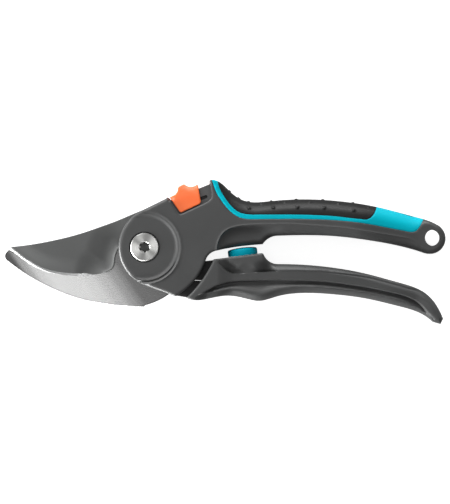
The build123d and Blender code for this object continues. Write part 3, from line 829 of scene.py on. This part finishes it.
def bumper():
    """Round elastic bumper between the handles, with a soft edge and a fine foot."""
    profile = BUMPER_PROFILE
    seat = Vector(BUMPER_SEAT)
    tilt = math.radians(BUMPER_TILT_DEG)
    axis = Vector((-math.sin(tilt), math.cos(tilt), 0))
    side = Vector((math.cos(tilt), math.sin(tilt), 0))
    count = 72
    verts, faces = [], []
    for r, h in profile:
        for k in range(count if r > 0 else 1):
            t = 2 * math.pi * k / count
            verts.append(seat + axis * h + side * (r * math.cos(t)) + Vector((0, 0, r * math.sin(t))))
    first = 1
    for k in range(count):
        faces.append((0, first + (k + 1) % count, first + k))
    for ring in range(len(profile) - 3):
        for k in range(count):
            a = first + ring * count + k
            b = first + ring * count + (k + 1) % count
            faces.append((a, b, b + count, a + count))
    last = len(verts) - 1
    base = first + (len(profile) - 3) * count
    for k in range(count):
        faces.append((last, base + k, base + (k + 1) % count))
    piece = mesh_object("stop_bumper", place(np.array(verts)), faces, 40)
    bm = bmesh.new()
    bm.from_mesh(piece.data)
    bmesh.ops.recalc_face_normals(bm, faces=bm.faces)
    bm.to_mesh(piece.data)
    bm.free()
    shade(piece, 40)
    return piece


# ---------------------------------------------------------------- materials


def material(name, color, roughness, metallic=0.0, **sockets):
    """A principled material; further sockets are given by name with underscores."""
    mat = bpy.data.materials.new(name)
    mat.use_nodes = True
    shader = mat.node_tree.nodes["Principled BSDF"]
    shader.inputs["Base Color"].default_value = (*color, 1)
    shader.inputs["Roughness"].default_value = roughness
    shader.inputs["Metallic"].default_value = metallic
    for key, value in sockets.items():
        shader.inputs[key.replace("_", " ")].default_value = value
    return mat


def wire(mat, source, target, socket):
    """Links a pattern to a socket of a named node."""
    mat.node_tree.links.new(source, mat.node_tree.nodes[target].inputs[socket])


def noise(mat, scale, detail=3.0, stretch=(1, 1, 1)):
    """Noise in object space, its scale in features per metre."""
    nodes, links = mat.node_tree.nodes, mat.node_tree.links
    coords = nodes.new("ShaderNodeTexCoord")
    mapping = nodes.new("ShaderNodeMapping")
    mapping.inputs["Scale"].default_value = stretch
    texture = nodes.new("ShaderNodeTexNoise")
    texture.inputs["Scale"].default_value = scale
    texture.inputs["Detail"].default_value = detail
    links.new(coords.outputs["Object"], mapping.inputs["Vector"])
    links.new(mapping.outputs["Vector"], texture.inputs["Vector"])
    return texture.outputs["Fac"]


def spread(mat, source, low, high):
    """Maps a 0 to 1 pattern onto a range."""
    node = mat.node_tree.nodes.new("ShaderNodeMapRange")
    node.inputs["From Min"].default_value = 0.3
    node.inputs["From Max"].default_value = 0.7
    node.inputs["To Min"].default_value = low
    node.inputs["To Max"].default_value = high
    mat.node_tree.links.new(source, node.inputs["Value"])
    return node.outputs["Result"]


def tint(mat, source, dark, light):
    """Base colour that wanders between two colours with a pattern."""
    ramp = mat.node_tree.nodes.new("ShaderNodeValToRGB")
    ramp.color_ramp.elements[0].position = 0.3
    ramp.color_ramp.elements[0].color = (*dark, 1)
    ramp.color_ramp.elements[1].position = 0.7
    ramp.color_ramp.elements[1].color = (*light, 1)
    mat.node_tree.links.new(source, ramp.inputs["Fac"])
    wire(mat, ramp.outputs["Color"], "Principled BSDF", "Base Color")


def bump(mat, source, strength, depth):
    """Surface relief from a pattern; depth is in metres."""
    node = mat.node_tree.nodes.new("ShaderNodeBump")
    node.inputs["Strength"].default_value = strength
    node.inputs["Distance"].default_value = depth
    mat.node_tree.links.new(source, node.inputs["Height"])
    wire(mat, node.outputs["Normal"], "Principled BSDF", "Normal")


def moulded(name, dark, light, roughness, grain, specular=0.5):
    """Moulded plastic or rubber: slight colour drift, fine eroded grain, uneven gloss."""
    mat = material(name, light, roughness, Specular_IOR_Level=specular)
    tint(mat, noise(mat, 60), dark, light)
    uneven = spread(mat, noise(mat, 900, 4), roughness - 0.05, roughness + 0.06)
    wire(mat, uneven, "Principled BSDF", "Roughness")
    bump(mat, noise(mat, 5200, 2), grain, 0.00004)
    return mat


def ground_steel(name, dark, light, roughness, stretch, scale=3200, relief=0.06):
    """Ground steel: fine grinding lines along one direction."""
    mat = material(name, light, roughness, 1.0)
    lines = noise(mat, scale, 3, stretch)
    tint(mat, lines, dark, light)
    uneven = spread(mat, lines, roughness - 0.8 * relief, roughness + 1.2 * relief)
    wire(mat, uneven, "Principled BSDF", "Roughness")
    bump(mat, lines, relief, 0.00002)
    return mat


def grade(mat, direction, span, stops):
    """Multiplies the base colour by a tone that changes along a direction over a span, in metres."""
    nodes, links = mat.node_tree.nodes, mat.node_tree.links
    coords = nodes.new("ShaderNodeTexCoord")
    reach = nodes.new("ShaderNodeVectorMath")
    reach.operation = "DOT_PRODUCT"
    reach.inputs[1].default_value = direction
    links.new(coords.outputs["Object"], reach.inputs[0])
    across = nodes.new("ShaderNodeMapRange")
    across.inputs["From Min"].default_value, across.inputs["From Max"].default_value = span
    links.new(reach.outputs["Value"], across.inputs["Value"])
    ramp = nodes.new("ShaderNodeValToRGB")
    ramp.color_ramp.interpolation = "EASE"
    while len(ramp.color_ramp.elements) < len(stops):
        ramp.color_ramp.elements.new(0.5)
    for element, (position, tone) in zip(ramp.color_ramp.elements, stops):
        element.position = position
        element.color = (tone, tone, tone, 1)
    links.new(across.outputs["Result"], ramp.inputs["Fac"])
    mix = nodes.new("ShaderNodeMix")
    mix.data_type = "RGBA"
    mix.blend_type = "MULTIPLY"
    mix.inputs["Factor"].default_value = 1.0
    color = nodes["Principled BSDF"].inputs["Base Color"]
    links.new(color.links[0].from_socket, mix.inputs["A"])
    links.new(ramp.outputs["Color"], mix.inputs["B"])
    links.new(mix.outputs["Result"], color)


def turn(mat):
    """Fine concentric turning marks about the upright middle of the object."""
    shader = mat.node_tree.nodes["Principled BSDF"]
    shader.inputs["Anisotropic"].default_value = 0.9
    tangent = mat.node_tree.nodes.new("ShaderNodeTangent")
    tangent.direction_type = "RADIAL"
    tangent.axis = "Z"
    mat.node_tree.links.new(tangent.outputs["Tangent"], shader.inputs["Tangent"])


NYLON = moulded("dark_nylon", (0.054, 0.055, 0.055), (0.061, 0.062, 0.062), 0.42, 0.25)
TEAL = moulded("teal_plastic", (0.0, 0.42, 0.53), (0.0, 0.46, 0.57), 0.45, 0.12, 0.08)
TEAL_SOFT = moulded("teal_rubber", (0.0, 0.30, 0.41), (0.0, 0.34, 0.45), 0.55, 0.12, 0.08)
BLACK_SOFT = moulded("black_rubber", (0.013, 0.013, 0.013), (0.017, 0.017, 0.017), 0.40, 0.2, 0.3)
# Painted shade: near-black for the blade's tang, the lower handle's tongue and the rail's end, in place of the
# shade deep inside the head.
PAINTED_SHADE_BLACK = moulded("painted_shade_black", (0.006, 0.006, 0.006), (0.009, 0.009, 0.009), 0.5, 0.1)
ORANGE = moulded("orange_plastic", (1.0, 0.155, 0.03), (1.0, 0.185, 0.045), 0.34, 0.1)
COATED = moulded("coated_steel", (0.080, 0.082, 0.081), (0.087, 0.089, 0.088), 0.45, 0.15)
STAINLESS = ground_steel(
    "stainless", (0.70, 0.70, 0.70), (0.73, 0.73, 0.725), 0.27, (0.06, 1, 1), 3200, 0.004
)
# The bare bevel is real; its near-white, mostly non-metal colour is also a painted highlight, whiter than bare
# steel.
BARE_EDGE_AND_HIGHLIGHT = ground_steel("bare_edge_and_highlight", (0.85, 0.85, 0.85), (0.95, 0.95, 0.95), 0.3, (1, 1, 1))
BARE_EDGE_AND_HIGHLIGHT.node_tree.nodes["Principled BSDF"].inputs["Metallic"].default_value = 0.15
BRIGHT = ground_steel("bright_steel", (0.5, 0.5, 0.49), (0.6, 0.6, 0.585), 0.3, (1, 1, 1))
TURNED = ground_steel(
    "turned_steel", (0.68, 0.68, 0.665), (0.72, 0.72, 0.70), 0.45, (1, 1, 1), 9000, 0.02
)
ZINC = ground_steel("zinc_steel", (0.45, 0.46, 0.48), (0.56, 0.57, 0.6), 0.36, (1, 1, 1))
SPRING = ground_steel("spring_steel", (0.34, 0.35, 0.37), (0.44, 0.45, 0.47), 0.32, (1, 1, 0.2))
BRONZE = ground_steel("bronze", (0.42, 0.27, 0.12), (0.55, 0.38, 0.18), 0.42, (1, 1, 1))
# Painted reflection and painted shade, multiplied by place into the base colour of the hook and of the bolt.
# The hook's tones are a painted reflection, dark at both ends; the bolt's are painted shade, darkest in
# its recess. They stay put when the view or the light changes.
HOOK_PAINTED_REFLECTION = (
    (0.0, 0.11), (0.09, 0.15), (0.16, 0.55), (0.25, 0.88), (0.34, 1.0), (0.55, 1.0), (0.66, 0.93),
    (0.78, 0.75), (0.9, 0.5), (0.94, 0.4), (1.0, 0.27),
)
BOLT_RECESS_PAINTED_SHADE = ((0.0, 0.22), (0.5, 0.1), (0.74, 0.35), (0.82, 1.0))
# Painted reflection along the hook.
grade(STAINLESS, (1, 0.7, 0), (-0.1146, -0.0571), HOOK_PAINTED_REFLECTION)
# Painted shade in the bolt's recess, set by height.
grade(TURNED, (0, 0, 1), (0.0170, 0.0192), BOLT_RECESS_PAINTED_SHADE)
turn(TURNED)
CAD_FINISH = {
    "pivot_bolt": TURNED, "bolt_washer": BRIGHT, "pivot_nut": ZINC, "spring_washer": ZINC,
    "pivot_bush": BRONZE, "blade_washer": ZINC, "return_spring": SPRING, "catch_spring": SPRING,
    "cover_screws": ZINC, "hook_dowels": ZINC, "tang_dowels": ZINC, "catch_pin": ZINC, "catch_bar": ZINC,
}


def dress(obj, mat, body, slot_name, *replaced):
    """Gives a piece its material and body, and hides the CAD nodes that it stands for. The slot name is not used.
    """
    obj.data.materials.clear()
    obj.data.materials.append(mat)
    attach(obj, body)
    if replaced:
        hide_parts(*replaced)


def build():
    """Makes every piece."""
    core, inlay, pad, cover, rail_end = upper_handle()
    dress(core, NYLON, "upper", "dark_nylon", "upper_handle_core")
    # The rail's end is coloured near-black as painted shade.
    dress(rail_end, PAINTED_SHADE_BLACK, "upper", "dark_nylon", "upper_handle_core")
    dress(inlay, TEAL, "upper", "teal_plastic", "grip_inlay")
    dress(pad, BLACK_SOFT, "upper", "black_rubber", "grip_pad")
    dress(cover, NYLON, "upper", "dark_nylon", "head_back_cover")
    body, tongue = lower_handle()
    dress(body, NYLON, "lower", "dark_nylon", "lower_handle")
    # The tongue is coloured near-black as painted shade.
    dress(tongue, PAINTED_SHADE_BLACK, "lower", "dark_nylon", "lower_handle")
    blade = cutting_blade()
    dress(blade, COATED, "lower", "coated_steel", "cutting_blade")
    finish_blade(blade)
    hook = counter_blade()
    dress(hook, STAINLESS, "upper", "stainless", "counter_blade")
    dress(catch_saddle(), ORANGE, "catch", "orange_plastic", "catch_saddle")
    dress(bumper(), TEAL_SOFT, "lower", "teal_rubber", "bumper")
    for node, mat in CAD_FINISH.items():
        NODES[node].data.materials.clear()
        NODES[node].data.materials.append(mat)
        shade(NODES[node], 35)


# ---------------------------------------------------------------- floor, light and camera


# Name, energy, size, place, target, and the kinds of ray that don't meet the lamp. The first three
# light the whole object; each of the others is small and makes one highlight.
LAMPS = (
    ("key", 18, (1.6, 0.6), (-0.35, 1.0, 0.62), (0, 0, 0), ()),
    ("overhead", 5, (1.2, 1.2), (0.0, 0.0, 2.2), (0, 0, 0), ("glossy",)),
    ("behind", 5.0, (1.6, 0.12), (0.0, 1.2, 0.09), (0, 0, 0), ()),
    ("rim", 9.5, (0.3, 0.06), (-0.50, -0.20, 0.045), (-0.05, 0, 0.01), ()),
    ("hook_panel", 0.51, (0.27, 0.30), (-0.195, -0.05, 1.5), (-0.09, 0, 0), ()),
    ("saddle_panel", 0.6, (0.22, 0.22), (-0.20, 0.43, 1.15), (-0.02, 0.027, 0.02), ("diffuse",)),
    ("toe", 0.16, (0.04, 0.03), (-0.0615, -0.099, 0.02), (-0.033, -0.02, 0.018), ("diffuse", "camera")),
)
FLOOR_HALF = 3.0
CAMERA_DISTANCE = 1.5
PICTURE_HEIGHT = 0.252


def area_light(name, energy, size, at, towards):
    """A soft rectangular lamp."""
    data = bpy.data.lights.new(name, "AREA")
    data.shape = "RECTANGLE"
    data.size, data.size_y = size
    data.energy = energy
    obj = bpy.data.objects.new(name, data)
    bpy.context.scene.collection.objects.link(obj)
    obj.location = at
    obj.rotation_euler = (Vector(towards) - Vector(at)).to_track_quat("-Z", "Y").to_euler()
    return obj


def stage():
    """Pale glowing floor, the lamps and an even pale surround."""
    floor_mesh = bpy.data.meshes.new("floor")
    half = FLOOR_HALF
    corners = [(-half, -half, 0), (half, -half, 0), (half, half, 0), (-half, half, 0)]
    floor_mesh.from_pydata(corners, [], [(0, 1, 2, 3)])
    floor = bpy.data.objects.new("floor", floor_mesh)
    floor.location.z = -0.0005
    bpy.context.scene.collection.objects.link(floor)
    glow = {"Emission_Color": (1, 1, 1, 1), "Emission_Strength": 0.85}
    pale = material("pale_floor", (0.6, 0.6, 0.6), 0.9, **glow)
    floor_mesh.materials.append(pale)
    floor.visible_glossy = False
    for *lamp, unseen in LAMPS:
        light = area_light(*lamp)
        for kind in unseen:
            setattr(light, "visible_" + kind, False)
    world = bpy.data.worlds.new("surround")
    world.use_nodes = True
    world.node_tree.nodes["Background"].inputs["Color"].default_value = (1, 1, 1, 1)
    world.node_tree.nodes["Background"].inputs["Strength"].default_value = 0.22
    bpy.context.scene.world = world


def camera():
    """Straight above the middle of the pruner, as far as the picture's perspective asks."""
    data = bpy.data.cameras.new("camera")
    data.sensor_width = 36
    data.lens = data.sensor_width * CAMERA_DISTANCE / PICTURE_HEIGHT
    obj = bpy.data.objects.new("camera", data)
    bpy.context.scene.collection.objects.link(obj)
    obj.location = (0, 0, PIVOT[2] + CAMERA_DISTANCE)
    bpy.context.scene.camera = obj


camera()
build()
stage()
bpy.context.scene.view_settings.view_transform = "Standard"
